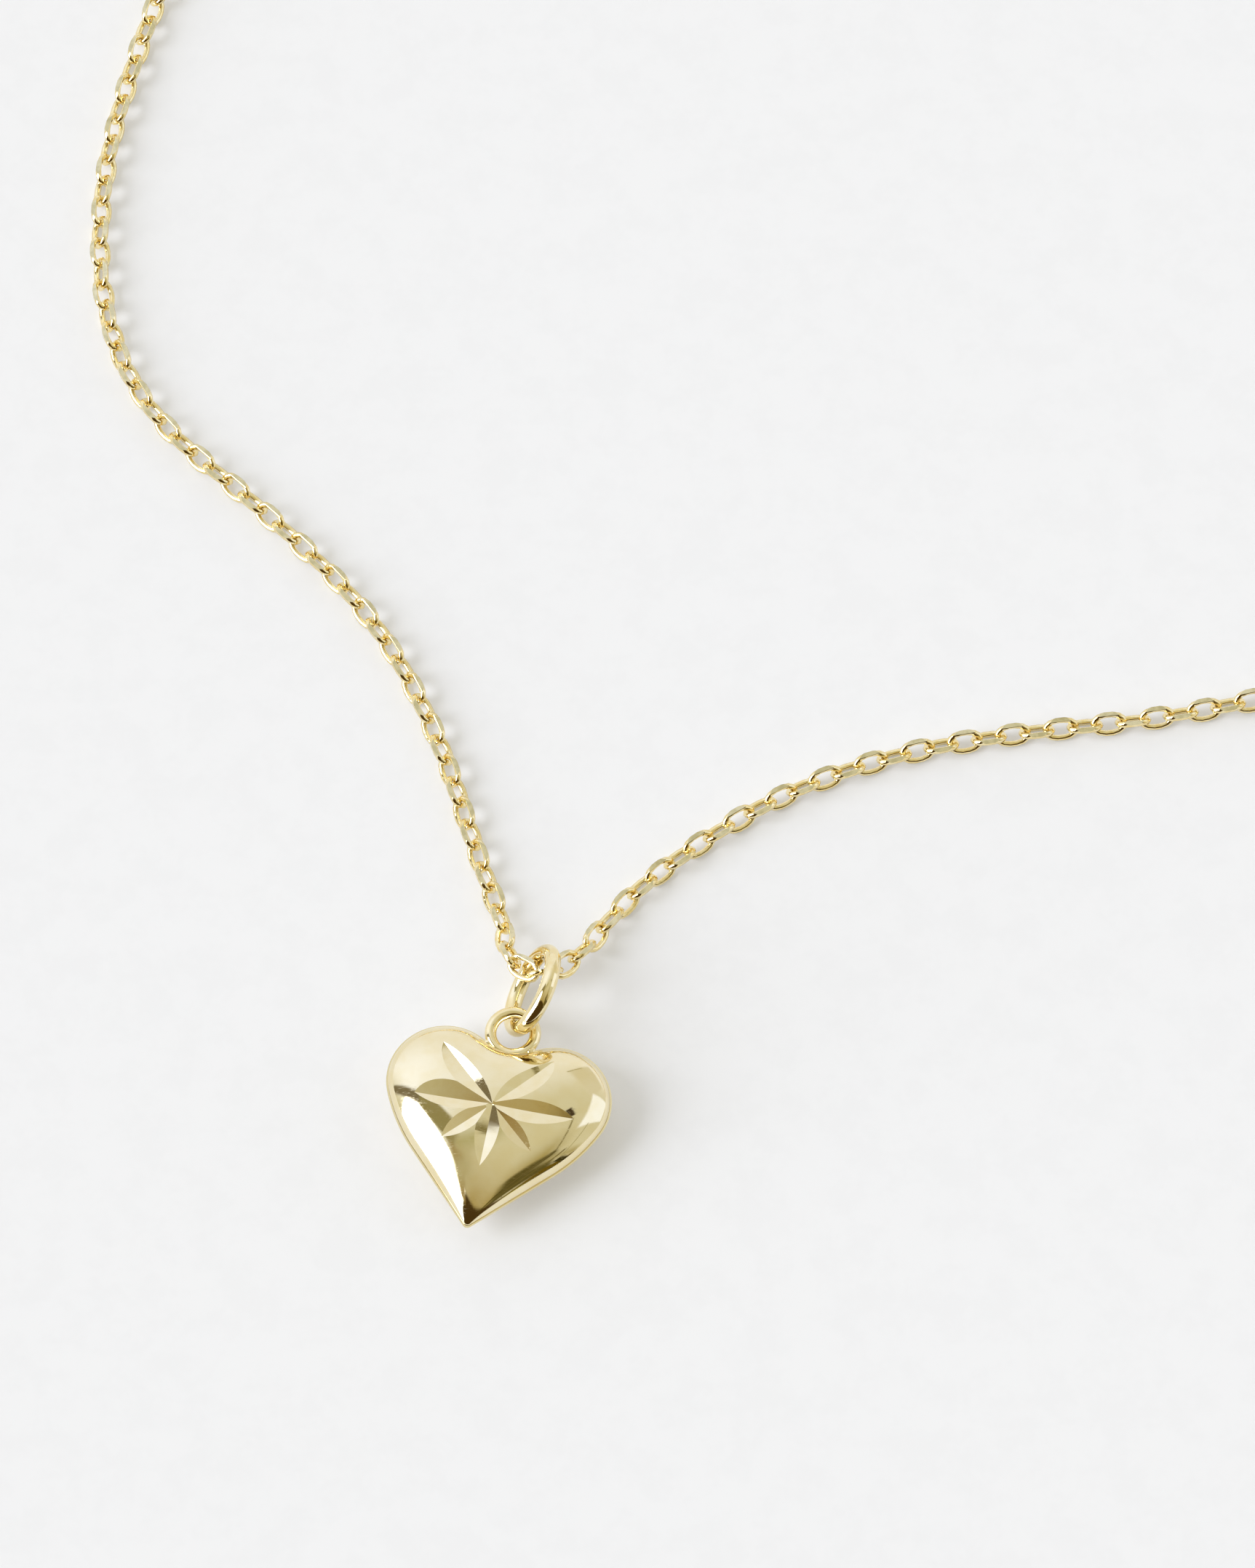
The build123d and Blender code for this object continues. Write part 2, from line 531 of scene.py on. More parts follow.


# The cards were first placed one by one. A separate fitting program then changed them, and more were
# added, until their reflections matched the gold's in the photograph, so these are that program's
# numbers.
CARDS = (
    Card((1.12, 1.19, 1.44), -52.8, 52.8, 49.8, 39.0, -41, 52.0),
    Card((0.95, 0.96, 1.00), 10.0, 87.8, 112.8, 41.9, -4, 51.7),
    Card((0.73, 0.70, 0.58), 44.6, 47.5, 18.2, 15.7, -48, 5.0),
    Card((0.45, 0.43, 0.22), -11.8, 3.7, 17.4, 3.6, 16, 12.2),
    Card((0.32, 0.24, 0.01), 35.6, -45.4, 4.4, 32.1, 2, 30.4),
    Card((0.38, 0.28, 0.07), 2.1, -44.3, 17.3, 36.5, 56, 46.5),
    Card((1.07, 1.14, 1.36), 66.1, 8.8, 20.5, 18.4, -4, 3.5),
    Card((0.12, 0.10, 0.03), 41.4, -44.3, 8.6, 15.9, 29, 6.5),
    Card((0.47, 0.42, 0.24), 57.5, -39.5, 17.6, 4.2, -17, 10.1),
    Card((0.15, 0.10, 0.01), 69.9, -71.8, 23.5, 14.6, -78, 3.5),
    Card((0.07, 0.04, 0.01), -15.1, -66.2, 61.9, 34.0, -28, 4.0),
    Card((0.98, 1.02, 0.46), 75.9, -79.9, 19.2, 13.7, -73, 5.5),
    Card((7.20, 7.50, 8.40), -67.0, -15.2, 34.0, 21.6, 24, 3.0),
    Card((0.21, 0.18, 0.12), -74.7, 16.7, 42.2, 4.0, -3, 3.0),
    Card((0.31, 0.28, 0.14), -31.1, 9.5, 10.5, 7.8, -41, 3.0),
    Card((0.06, 0.04, 0.02), 31.0, 10.0, 1.8, 4.4, 38, 1.3),
    Card((0.34, 0.24, 0.09), -30.3, -14.4, 5.5, 13.0, -23, 4.9),
    Card((0.10, 0.08, 0.02), 36.3, -41.9, 1.8, 16.0, -18, 1.8),
    Card((0.16, 0.13, 0.04), 46.5, -42.0, 1.2, 12.6, -22, 1.8),
    Card((0.06, 0.04, 0.01), 74.9, -55.7, 2.9, 18.6, -53, 2.7),
    Card((0.50, 0.46, 0.29), -26.3, -10.9, 13.1, 7.2, 23, 16.4),
    Card((0.22, 0.19, 0.08), 37.9, -10.0, 0.5, 14.5, 12, 0.8),
    Card((0.18, 0.15, 0.06), 38.5, -34.5, 0.6, 10.5, -15, 0.9),
    Card((0.34, 0.31, 0.15), 55.0, -24.0, 0.5, 17.0, 1, 1.0),
    Card((0.40, 0.36, 0.18), 27.5, 55.5, 0.5, 9.0, -52, 0.9),
    Card((0.05, 0.04, 0.01), 66.0, -52.0, 3.2, 14.0, 58, 2.0),
)


@dataclass
class Studio:
    """The paper, the soft light round it and the camera."""

    paper_side: float = 1.6
    camera_at: tuple[float, float, float] = (-0.0425, -0.2015, 0.3347)
    camera_aim: tuple[float, float, float] = (-0.0425, -0.056, 0.0)
    lens: float = 166.98
    sensor: float = 36.0
    plain: Colour = (0.70, 0.68, 0.54)
    strength: float = 1.0
    least_level: float = 0.0001
    paper_squares: int = 8
    nearest: float = 0.01
    farthest: float = 20.0

    def card_group(self) -> bpy.types.NodeTree:
        """Build the group that says how much of a card is seen in a direction.

        Returns:
            The node group, with the output Mask.
        """
        direction = ("East", "North", "Cosine", "Sine", "Across", "Along")
        edges = ("Width Start", "Width End", "Height Start", "Height End")
        bench, enter, leave = new_group("studio card", direction + edges, ("Mask",))
        given = enter.outputs
        aside = bench.sum("MULTIPLY_ADD", given["North"], given["Sine"], given["Across"])
        aside = bench.sum("ABSOLUTE", bench.sum("MULTIPLY_ADD", given["East"], given["Cosine"], aside))
        above = bench.sum("MULTIPLY_ADD", given["North"], given["Cosine"], given["Along"])
        beside = bench.sum("MULTIPLY", given["East"], given["Sine"])
        above = bench.sum("ABSOLUTE", bench.sum("SUBTRACT", above, beside))
        wide = bench.ramp(aside, given["Width Start"], given["Width End"], 1.0, 0.0)
        high = bench.ramp(above, given["Height Start"], given["Height End"], 1.0, 0.0)
        bench.feed(leave.inputs["Mask"], bench.sum("MULTIPLY", wide, high))
        return bench.tree

    def light(self) -> None:
        """Light the scene from the cards all round it."""
        world = bpy.data.worlds.new("studio")
        bpy.context.scene.world = world
        world.use_nodes = True
        bench = NodeBench(world.node_tree)
        look = bench.add("ShaderNodeTexCoord").outputs["Generated"]
        way = bench.add("ShaderNodeSeparateXYZ", {"Vector": look})
        drop = bench.sum("MULTIPLY", bench.sum("ARCCOSINE", way.outputs["Z"]), 180 / pi)
        level = bench.sum("MULTIPLY", way.outputs["X"], way.outputs["X"])
        level = bench.sum("MULTIPLY_ADD", way.outputs["Y"], way.outputs["Y"], level)
        spread = bench.sum("DIVIDE", drop, bench.sum("MAXIMUM", bench.sum("SQRT", level), self.least_level))
        east = bench.sum("MULTIPLY", way.outputs["X"], spread)
        north = bench.sum("MULTIPLY", way.outputs["Y"], spread)
        group = self.card_group()
        colour: object = opaque(self.plain)
        for card in CARDS:
            mask = bench.add("ShaderNodeGroup", node_tree=group)
            for socket, value in zip(mask.inputs, (east, north, *card.measures())):
                bench.feed(socket, value)
            colour = bench.mix(mask.outputs["Mask"], colour, opaque(card.light))
        background = world.node_tree.nodes["Background"]
        bench.feed(background.inputs["Color"], colour)
        background.inputs["Strength"].default_value = self.strength
        bpy.context.scene.view_settings.view_transform = "Standard"

    def lay_paper(self) -> None:
        """Lay the paper under the necklace."""
        start_afresh()
        squares = self.paper_squares
        bpy.ops.mesh.primitive_grid_add(x_subdivisions=squares, y_subdivisions=squares, size=self.paper_side)
        paper = new_piece("paper_sheet")
        paper.data.materials.append(PaperFinish().material())

    def set_camera(self) -> None:
        """Place the camera at the photograph's angle."""
        start_afresh()
        away = Vector(self.camera_at) - Vector(self.camera_aim)
        bpy.ops.object.camera_add(location=self.camera_at, rotation=away.to_track_quat("Z", "Y").to_euler())
        camera = bpy.context.object
        camera.data.sensor_fit = "VERTICAL"
        camera.data.sensor_height = self.sensor
        camera.data.lens = self.lens
        camera.data.clip_start = self.nearest
        camera.data.clip_end = self.farthest
        bpy.context.scene.camera = camera

    def build(self) -> None:
        """Set the camera, the light and the paper."""
        self.set_camera()
        self.light()
        self.lay_paper()
        LOG.info("studio: %d cards", len(CARDS))


@dataclass(frozen=True)
class Cut:
    """One V cut of the star.

    Args:
        direction: Its direction from the heart's +X, in degrees.
        length: Its length as a share of the heart's half width.
        left: How steep its left side is, looking outwards, in degrees.
        right: How steep its right side is.
        sink: How far below the crown it starts, in millimetres.
    """

    direction: float
    length: float
    left: float = 20.0
    right: float = 20.0
    sink: float = 0.0


CUTS = (
    Cut(4.0, 0.715, left=27.5, sink=0.08),
    Cut(52.0, 0.690),
    Cut(137.0, 0.760, right=24.5),
    Cut(180.0, 0.700, left=21.0, right=15.0),
    Cut(224.0, 0.525),
    Cut(271.0, 0.560, sink=0.12),
    Cut(321.0, 0.535, left=26.5),
)

SOLDER = (
    # Each drop of solder: how far it lies to the side of and below the eye's middle, and its size.
    (-0.98, 0.74, 0.40),
    (-1.12, 0.80, 0.34),
    (0.98, 0.74, 0.42),
    (1.14, 0.78, 0.38),
)


@dataclass
class HeartPendant:
    """The puffed heart with its star of V cuts, and the wire eye soldered in its cleft.

    Sizes are in millimetres. In its own frame the flanks point at (0, 0) and +Y runs to the cleft.
    """

    width: float = 11.2
    height: float = 10.25
    thickness: float = 3.4
    lobe_radius: float = 2.88
    side_radius: float = 8.7
    flank_spread: float = 3.2
    cleft_depth: float = 0.77
    tip_radius: float = 0.26
    crown_height: float = 6.05
    seam_step: float = 0.08
    rings: int = 64
    cut_half_width: float = 1.4
    cut_overrun: float = 0.5
    wheel_radius: float = 25.0
    eye_wire: float = 0.58
    eye_radius: float = 1.10
    eye_sink: float = 0.38
    eye_place: tuple[float, float] = (-48.135, -70.121)
    lean: float = 12.3
    tip_points: int = 8
    flank_points: int = 40
    side_points: int = 32
    lobe_points: int = 72
    hollow_points: int = 12
    settled: float = 1e-12
    cut_steps: int = 10
    round_angle: float = 14.0
    solder_grain: float = 0.05
    eye_sides: int = 96
    eye_wire_sides: int = 32
    eye_round_angle: float = 60.0

    @property
    def seam(self) -> float:
        """Height of the seam over the surface."""
        return self.thickness / 2

    @property
    def eye_y(self) -> float:
        """Place of the eye's middle on the heart's own +Y."""
        return self.height - self.cleft_depth + self.eye_radius + self.eye_wire / 2 - self.eye_sink

    def outline(self, inset: float) -> list[tuple[float, float]]:
        """Trace the heart's outline from its tip, counterclockwise.

        Args:
            inset: How far inside the whole outline it runs.

        Returns:
            The outline's points, of which there are the same number for any inset.
        """
        out = self.width / 2 - self.lobe_radius
        up = self.height - self.lobe_radius
        flank = atan2(out, up) + asin(self.lobe_radius / hypot(out, up)) + radians(self.flank_spread)
        low = inset / sin(flank)
        lobe = self.lobe_radius - inset
        side = self.side_radius - inset
        lobe_y = self.height - inset - lobe
        gap_x = -side * cos(flank) - out
        gap_y = low + side * sin(flank) - lobe_y
        along = gap_x * sin(flank) + gap_y * cos(flank)
        run = -along - sqrt(along**2 - gap_x**2 - gap_y**2 + (side - lobe) ** 2)
        side_x = run * sin(flank) - side * cos(flank)
        side_y = low + run * cos(flank) + side * sin(flank)
        joint = atan2(lobe_y - side_y, out - side_x)
        rise = self.height - inset - self.cleft_depth - lobe_y
        hollow = (out**2 + rise**2 - lobe**2) / (2 * (lobe - rise))
        turn = atan2(rise + hollow, -out)
        tip_run = self.tip_radius / tan(flank)
        points: list[tuple[float, float]] = []

        def arc(x: float, y: float, radius: float, start: float, end: float, count: int) -> None:
            """Add an arc's points, without its last one."""
            for angle in np.linspace(start, end, count, endpoint=False):
                points.append((x + radius * cos(angle), y + radius * sin(angle)))

        arc(0, low + self.tip_radius / sin(flank), self.tip_radius, -pi / 2, -flank, self.tip_points)
        for share in np.linspace(0, 1, self.flank_points, endpoint=False):
            length = tip_run + (run - tip_run) * share
            points.append((length * sin(flank), low + length * cos(flank)))
        arc(side_x, side_y, side, -flank, joint, self.side_points)
        arc(out, lobe_y, lobe, joint, turn, self.lobe_points)
        arc(0, lobe_y + rise + hollow, hollow, turn - pi, -pi / 2, self.hollow_points)
        middle = (0.0, lobe_y + rise)
        return points + [middle] + [(-x, y) for x, y in reversed(points[1:])]

    def swell(self, shell: bpy.types.Object, rim: int) -> np.ndarray:
        """Work out how far a sheet held at its rim swells, as a stamping does in its die.

        Args:
            shell: The flat stamping, whose first points are its rim.
            rim: How many points the rim has.

        Returns:
            Each point's height over the seam, as a share of the highest.
        """
        mesh = shell.data
        mesh.calc_loop_triangles()
        count = len(mesh.vertices)
        place = np.zeros(count * 3)
        mesh.vertices.foreach_get("co", place)
        place = place.reshape(-1, 3)[:, :2]
        corners = np.zeros(len(mesh.loop_triangles) * 3, dtype=np.int64)
        mesh.loop_triangles.foreach_get("vertices", corners)
        corners = corners.reshape(-1, 3)
        ends_a, ends_b, weights, area = [], [], [], np.zeros(count)
        for a, b, c in ((0, 1, 2), (1, 2, 0), (2, 0, 1)):
            one = place[corners[:, a]] - place[corners[:, c]]
            two = place[corners[:, b]] - place[corners[:, c]]
            twice_area = np.abs(one[:, 0] * two[:, 1] - one[:, 1] * two[:, 0])
            ends_a.append(corners[:, a])
            ends_b.append(corners[:, b])
            weights.append((one * two).sum(1) / twice_area / 2)
            area += np.bincount(corners[:, a], twice_area / 6, count)
        a, b, weight = np.concatenate(ends_a), np.concatenate(ends_b), np.concatenate(weights)
        own = np.bincount(a, weight, count) + np.bincount(b, weight, count)
        free = np.arange(count) >= rim

        def pull(height: np.ndarray) -> np.ndarray:
            """Each free point's pull from its neighbours."""
            pulled = own * height - np.bincount(a, weight * height[b], count)
            pulled -= np.bincount(b, weight * height[a], count)
            return np.where(free, pulled, 0)

        height, rest = np.zeros(count), np.where(free, area, 0)
        step = rest / own
        measure = first = (rest * step).sum()
        while measure > first * self.settled:
            pulled = pull(step)
            share = measure / (step * pulled).sum()
            height += share * step
            rest -= share * pulled
            eased = np.where(free, rest / own, 0)
            before, measure = measure, (rest * eased).sum()
            step = eased + step * measure / before
        return np.sqrt(np.clip(height / height.max(), 0, 1))

    def stamping(self, half: Half) -> bpy.types.Object:
        """Make one domed stamping as an open sheet, its rim on the seam.

        Args:
            half: Which of the two it is.

        Returns:
            The stamping.
        """
        inset = self.seam_step if half is Half.FRONT else 0.0
        outline = self.outline(inset)
        start_afresh()
        bpy.ops.mesh.primitive_circle_add(vertices=len(outline), radius=1, location=(0, 0, 0))
        shell = new_piece(f"stamping_{half.name.lower()}")
        for vertex, (x, y) in zip(shell.data.vertices, outline):
            vertex.co = (x, y, self.seam)
        bpy.ops.object.mode_set(mode="EDIT")
        bpy.ops.mesh.select_all(action="SELECT")
        size = 1.0
        for ring in range(1, self.rings):
            bpy.ops.mesh.extrude_edges_move()
            smaller = cos(pi / 2 * ring / self.rings)
            ratio = smaller / size
            crown = (0, self.crown_height, self.seam)
            bpy.ops.transform.resize(value=(ratio, ratio, 1), center_override=crown)
            size = smaller
        bpy.ops.mesh.edge_face_add()
        bpy.ops.mesh.poke()
        bpy.ops.mesh.select_all(action="SELECT")
        bpy.ops.mesh.normals_make_consistent(inside=half is Half.BACK)
        bpy.ops.object.mode_set(mode="OBJECT")
        depth = half.value * self.seam
        for vertex, height in zip(shell.data.vertices, self.swell(shell, len(outline))):
            vertex.co.z = self.seam + depth * height
        return shell

    def cutter(self, shell: bpy.types.Object, cut: Cut, finish: bpy.types.Material) -> bpy.types.Object:
        """Make the prism that a V-edged wheel sweeps in one cut.

        Args:
            shell: The heart's shell, whose dome the cut runs out on.
            cut: The cut.
            finish: The finish that it leaves.

        Returns:
            The prism.
        """
        out = Vector((cos(radians(cut.direction)), sin(radians(cut.direction)), 0))
        crown = Vector((0, self.crown_height, self.thickness - cut.sink))
        above = crown + out * cut.length * self.width / 2 + UP
        hit, end, _, _ = shell.ray_cast(above, -UP)
        if not hit:
            raise RuntimeError("a cut of the star ends outside the heart")
        valley = end - crown
        reach = valley.length
        left, right = (self.cut_half_width * tan(radians(slope)) for slope in (cut.left, cut.right))
        start_afresh()
        bpy.ops.mesh.primitive_circle_add(vertices=3, radius=1, fill_type="NGON", location=(0, 0, 0))
        prism = new_piece("star_cutter")
        corners = ((0, 0, 0), (0, self.cut_half_width, left), (0, -self.cut_half_width, right))
        for vertex, place in zip(prism.data.vertices, corners):
            vertex.co = place
        bpy.ops.object.mode_set(mode="EDIT")
        bpy.ops.mesh.select_all(action="SELECT")
        swing = 2 * asin(reach / 2 / self.wheel_radius) * (1 + self.cut_overrun / reach)
        hub = (reach / 2, 0, sqrt(self.wheel_radius**2 - reach**2 / 4))
        bpy.ops.mesh.spin(steps=self.cut_steps, angle=swing, center=hub, axis=(0, 1, 0))
        bpy.ops.object.mode_set(mode="OBJECT")
        across = UP.cross(out)
        ahead = valley.normalized()
        turned = Matrix((ahead, across, ahead.cross(across))).transposed().to_4x4()
        prism.data.transform(Matrix.Translation(crown) @ turned)
        prism.data.materials.append(finish)
        return prism

    def shell(self, polished: bpy.types.Material, cut: bpy.types.Material) -> bpy.types.Object:
        """Make the closed shell: two stampings, the step at their seam and the star.

        Args:
            polished: The domes' finish.
            cut: The star's finish.

        Returns:
            The shell.
        """
        shell = join([self.stamping(Half.FRONT), self.stamping(Half.BACK)])
        shell.name = "heart_shell"
        bpy.ops.object.mode_set(mode="EDIT")
        bpy.ops.mesh.select_all(action="DESELECT")
        bpy.ops.mesh.select_mode(type="EDGE")
        bpy.ops.mesh.select_non_manifold()
        bpy.ops.mesh.bridge_edge_loops()
        bpy.ops.mesh.select_mode(type="VERT")
        bpy.ops.object.mode_set(mode="OBJECT")
        face_outwards(shell)
        shell.data.materials.append(polished)
        shell.data.materials.append(cut)
        prisms = [self.cutter(shell, star_cut, cut) for star_cut in CUTS]
        for prism in prisms:
            face_outwards(prism)
            take_up(shell)
            star = shell.modifiers.new("star", "BOOLEAN")
            star.operation = "DIFFERENCE"
            star.solver = "EXACT"
            star.material_mode = "TRANSFER"
            star.object = prism
            bpy.ops.object.modifier_apply(modifier="star")
            bpy.data.objects.remove(prism)
        self.sharpen_star(shell)
        smooth(shell, self.round_angle)
        return shell

    def sharpen_star(self, shell: bpy.types.Object) -> None:
        """Mark the star's outline sharp.

        Args:
            shell: The cut shell.
        """
        take_up(shell)
        select_faces(shell, lambda face: face.material_index == 1)
        bpy.ops.object.mode_set(mode="EDIT")
        bpy.ops.mesh.select_mode(type="FACE")
        bpy.ops.mesh.region_to_loop()
        bpy.ops.mesh.mark_sharp()
        bpy.ops.mesh.select_mode(type="VERT")
        bpy.ops.object.mode_set(mode="OBJECT")

    def solder(self) -> bpy.types.Object:
        """Make the two solder points where the eye enters the cleft.

        Returns:
            Both points as one mesh.
        """
        start_afresh()
        bpy.ops.object.metaball_add(type="BALL", radius=1, location=(0, 0, 0))
        drops = bpy.context.object
        drops.data.resolution = drops.data.render_resolution = self.solder_grain
        drops.data.elements.remove(drops.data.elements[0])
        for x, below, size in SOLDER:
            drop = drops.data.elements.new()
            drop.co = (x, self.eye_y - below, self.seam)
            drop.radius = size
        take_up(drops)
        bpy.ops.object.convert(target="MESH")
        return new_piece("solder")

    def eye(self, wire: bpy.types.Material) -> bpy.types.Object:
        """Make the wire eye with its solder.

        Args:
            wire: Its finish.

        Returns:
            The eye.
        """
        middle = (0, self.eye_y, self.seam)
        ring = wire_ring(
            "heart_eye", self.eye_radius, self.eye_wire, self.eye_sides, self.eye_wire_sides, middle
        )
        eye = join([ring, self.solder()])
        eye.data.materials.clear()
        eye.data.materials.append(wire)
        smooth(eye, self.eye_round_angle)
        return eye

    def build(self, polished: bpy.types.Material, cut: bpy.types.Material, wire: bpy.types.Material) -> None:
        """Make the pendant and lay it in its place.

        Args:
            polished: The domes' finish.
            cut: The star's finish.
            wire: The eye's finish.
        """
        place = (
            Matrix.Translation((*self.eye_place, 0))
            @ Matrix.Rotation(radians(-self.lean), 4, "Z")
            @ Matrix.Translation((0, -self.eye_y, 0))
        )
        hand_over(self.shell(polished, cut), "heart", place)
        hand_over(self.eye(wire), "heart", place)


@dataclass
class JumpRing:
    """The round ring that leans through the eye. Sizes are in millimetres."""

    wire: float = 0.8
    radius: float = 2.05
    sides: int = 160
    wire_sides: int = 48
    round_angle: float = 60.0
    middle: tuple[float, float, float] = (-47.190, -68.070, 2.259)
    long_way: tuple[float, float, float] = (0.2982, 0.9517, 0.0732)
    normal: tuple[float, float, float] = (0.8652, -0.2371, -0.4419)

    def build(self, wire: bpy.types.Material) -> None:
        """Make the ring and lay it in its place.

        Args:
            wire: Its finish.
        """
        ring = wire_ring("jump_ring_wire", self.radius, self.wire, self.sides, self.wire_sides)
        ring.data.materials.append(wire)
        smooth(ring, self.round_angle)
        along = Vector(self.long_way).normalized()
        out = Vector(self.normal).normalized()
        turned = Matrix((along, out.cross(along), out)).transposed().to_4x4()
        hand_over(ring, "jump_ring", Matrix.Translation(self.middle) @ turned)


# The strand's route, from one end of the clasp round to the other, in millimetres. Its points were
# placed by hand. Separate programs then moved those in the photograph's view, and found the five at
# the jump ring.
ROUTE = (
    (34.55, 74.38, 1.20),
    (27.4, 77.3, 0.55),
    (13.5, 80.6, 0.50),
    (-11.8, 78.5, 0.50),
    (-35.5, 62.5, 0.50),
    (-50.2, 36.0, 0.50),
    (-58.9, 13.2, 0.50),
    (-65.1, -4.8, 0.50),
    (-68.2, -14.2, 0.50),
    (-69.9, -21.9, 0.53),
    (-69.7, -29.7, 0.55),
    (-67.0, -35.8, 0.50),
    (-60.9, -41.1, 0.50),
    (-55.4, -46.8, 0.50),
    (-52.0, -53.4, 0.50),
    (-49.8, -60.7, 0.50),
    (-48.6, -63.87, 0.59),
    (-48.4, -66.52, 1.77),
    (-46.37, -67.34, 1.97),
    (-44.41, -65.22, 0.99),
    (-43.5, -63.65, 0.50),
    (-41.2, -61.1, 0.50),
    (-35.4, -57.0, 0.50),
    (-29.0, -54.5, 0.50),
    (-22.0, -53.3, 0.50),
    (-15.1, -52.6, 0.50),
    (-5.9, -50.4, 0.50),
    (12.0, -45.6, 0.50),
    (34.0, -40.8, 0.50),
    (56.6, -24.6, 0.50),
    (70.4, 2.0, 0.50),
    (68.0, 32.0, 0.50),
    (59.2, 54.8, 0.50),
    (49.2, 65.0, 0.55),
    (42.65, 69.92, 1.20),
)

# How far the strand is twisted, in degrees, at some of its links. The twists at the jump ring, from
# link 172 on, were found by a separate program.
TWISTS = (
    (135, 0),
    (141, 14),
    (147, 0),
    (172, 0),
    (176, -7),
    (178, -11),
    (179, -25),
    (180, -12),
    (184, 0),
)


@dataclass
class CableChain:
    """The fine cable chain: oval links turned a quarter to each other, cut flat above and below.

    Sizes are in millimetres and angles in degrees. A link is rolled from the strand's side, one way
    and the other in turn, and strays from that by chance.
    """

    link_length: float = 1.88
    link_width: float = 1.30
    wire: float = 0.32
    pitch: float = 1.22
    flat: float = 0.43
    flat_turns: tuple[float, float] = (45.0, 225.0)
    roll: float = 45.0
    stray: float = 2.5
    seed: int = 7
    sides: int = 16
    wire_sides: int = 6
    round_angle: float = 75.0
    curve_steps: int = 64

    def strand(self) -> np.ndarray:
        """Draw the strand's line as a smooth curve.

        Returns:
            Its points, in millimetres.
        """
        line = bpy.data.curves.new("strand", "CURVE")
        line.dimensions = "3D"
        line.resolution_u = self.curve_steps
        spline = line.splines.new("NURBS")
        spline.points.add(len(ROUTE) - 1)
        for point, place in zip(spline.points, ROUTE):
            point.co = (*place, 1)
        spline.order_u = 3
        spline.use_endpoint_u = True
        holder = bpy.data.objects.new("strand", line)
        bpy.context.collection.objects.link(holder)
        bpy.context.view_layer.update()
        drawn = bpy.data.meshes.new_from_object(holder)
        points = np.array([tuple(vertex.co) for vertex in drawn.vertices])
        bpy.data.objects.remove(holder)
        return points

    def link(self, finish: bpy.types.Material, cut: bpy.types.Material) -> bpy.types.Object:
        """Make one link, lengthwise along +X and flat in XY.

        Args:
            finish: Its finish.
            cut: The darker gold of its cut flat faces, painted shade that dims their reflections.

        Returns:
            The link.
        """
        radius = (self.link_width - self.wire) / 2
        stretch = (self.link_length - self.link_width) / 2
        link = wire_ring("link", radius, self.wire, self.sides, self.wire_sides)
        link.data.transform(Matrix.Rotation(pi / self.sides, 4, "Z"))
        for vertex in link.data.vertices:
            share = vertex.co.x / hypot(vertex.co.x, vertex.co.y)
            vertex.co.x += stretch * share * (1.5 - share**2 / 2)
        link.data.materials.append(finish)
        link.data.materials.append(cut)
        for turn in self.flat_turns:
            way = Vector((0, cos(radians(turn)), sin(radians(turn))))
            bpy.ops.object.mode_set(mode="EDIT")
            bpy.ops.mesh.select_all(action="SELECT")
            bpy.ops.mesh.bisect(
                plane_co=way * self.flat, plane_no=way, use_fill=True, clear_outer=True
            )
            # The cut faces take the darker gold, painted shade.
            link.active_material_index = 1
            bpy.ops.object.material_slot_assign()
            bpy.ops.mesh.region_to_loop()
            bpy.ops.mesh.mark_sharp()
            bpy.ops.object.mode_set(mode="OBJECT")
        face_outwards(link)
        smooth(link, self.round_angle)
        return link

    def places(self, points: np.ndarray) -> list[Matrix]:
        """Work out where each link lies along the strand.

        Args:
            points: The strand's line.

        Returns:
            The links' places, in order.
        """
        run = np.concatenate(([0], np.cumsum(np.linalg.norm(np.diff(points, axis=0), axis=1))))
        count = round((run[-1] - self.link_length) / self.pitch) + 1
        pitch = (run[-1] - self.link_length) / (count - 1)
        chance = np.random.default_rng(self.seed)
        places = []
        for number, twist in enumerate(np.interp(range(count), *zip(*TWISTS))):
            middle = self.link_length / 2 + number * pitch
            back, front = (
                Vector([np.interp(middle + part, run, points[:, axis]) for axis in range(3)])
                for part in (-pitch / 2, pitch / 2)
            )
            ahead = (front - back).normalized()
            side = UP.cross(ahead).normalized()
            turn = -1 if number % 2 else 1
            roll = radians(self.roll * turn + twist + chance.normal(0, self.stray))
            across = side * cos(roll) + ahead.cross(side) * sin(roll)
            axes = Matrix((ahead * turn, across * turn, ahead.cross(across))).transposed()
            places.append(Matrix.Translation((back + front) / 2) @ axes.to_4x4())
        LOG.info("chain: %d links, %.1f mm, pitch %.3f mm", count, run[-1], pitch)
        return places

    def build(self, finish: bpy.types.Material, cut: bpy.types.Material) -> None:
        """Make the links and lay them along the strand.

        Args:
            finish: Their finish.
            cut: The darker gold of their cut flat faces, painted shade that dims their reflections.
        """
        link = self.link(finish, cut)
        links = []
        for place in self.places(self.strand()):
            copy = link.copy()
            copy.data = link.data.copy()
            copy.data.transform(place)
            bpy.context.collection.objects.link(copy)
            links.append(copy)
        bpy.data.objects.remove(link)
        chain = join(links)
        chain.name = "chain_links"
        hand_over(chain, "chain")


